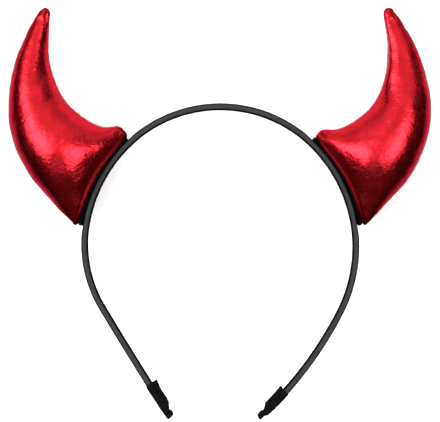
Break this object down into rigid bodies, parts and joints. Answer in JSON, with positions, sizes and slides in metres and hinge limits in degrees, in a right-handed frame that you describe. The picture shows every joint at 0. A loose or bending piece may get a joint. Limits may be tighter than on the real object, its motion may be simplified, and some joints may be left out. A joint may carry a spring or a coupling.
{
  "type": "devil horns headband",
  "caption": "Springy satin-wrapped hoop headband with two stuffed, curved horns of metallic foil cloth on felt pads, lying on its back.",
  "frame": {"origin": "middle of the underside of its box as it lies on its back, on the surface under the flattened backs of the horns", "axes": "+X across the hoop to the right horn as seen from the front, +Y from the hoop's open ends up to its crown, +Z from the back of the head to the front, which is up as it lies"},
  "size_m": [0.1904, 0.1858, 0.0268],
  "materials": {
    "band_satin": "satin",
    "cover_cloth": "matte",
    "pad_felt": "matte",
    "horn_foil": "satin"
  },
  "bodies": {
    "root": {"band": "band_satin", "tip_cover_left": "cover_cloth", "tip_cover_right": "cover_cloth", "base_pad_left": "pad_felt", "base_pad_right": "pad_felt", "horn_left": "horn_foil", "horn_right": "horn_foil"}
  },
  "joints": []
}
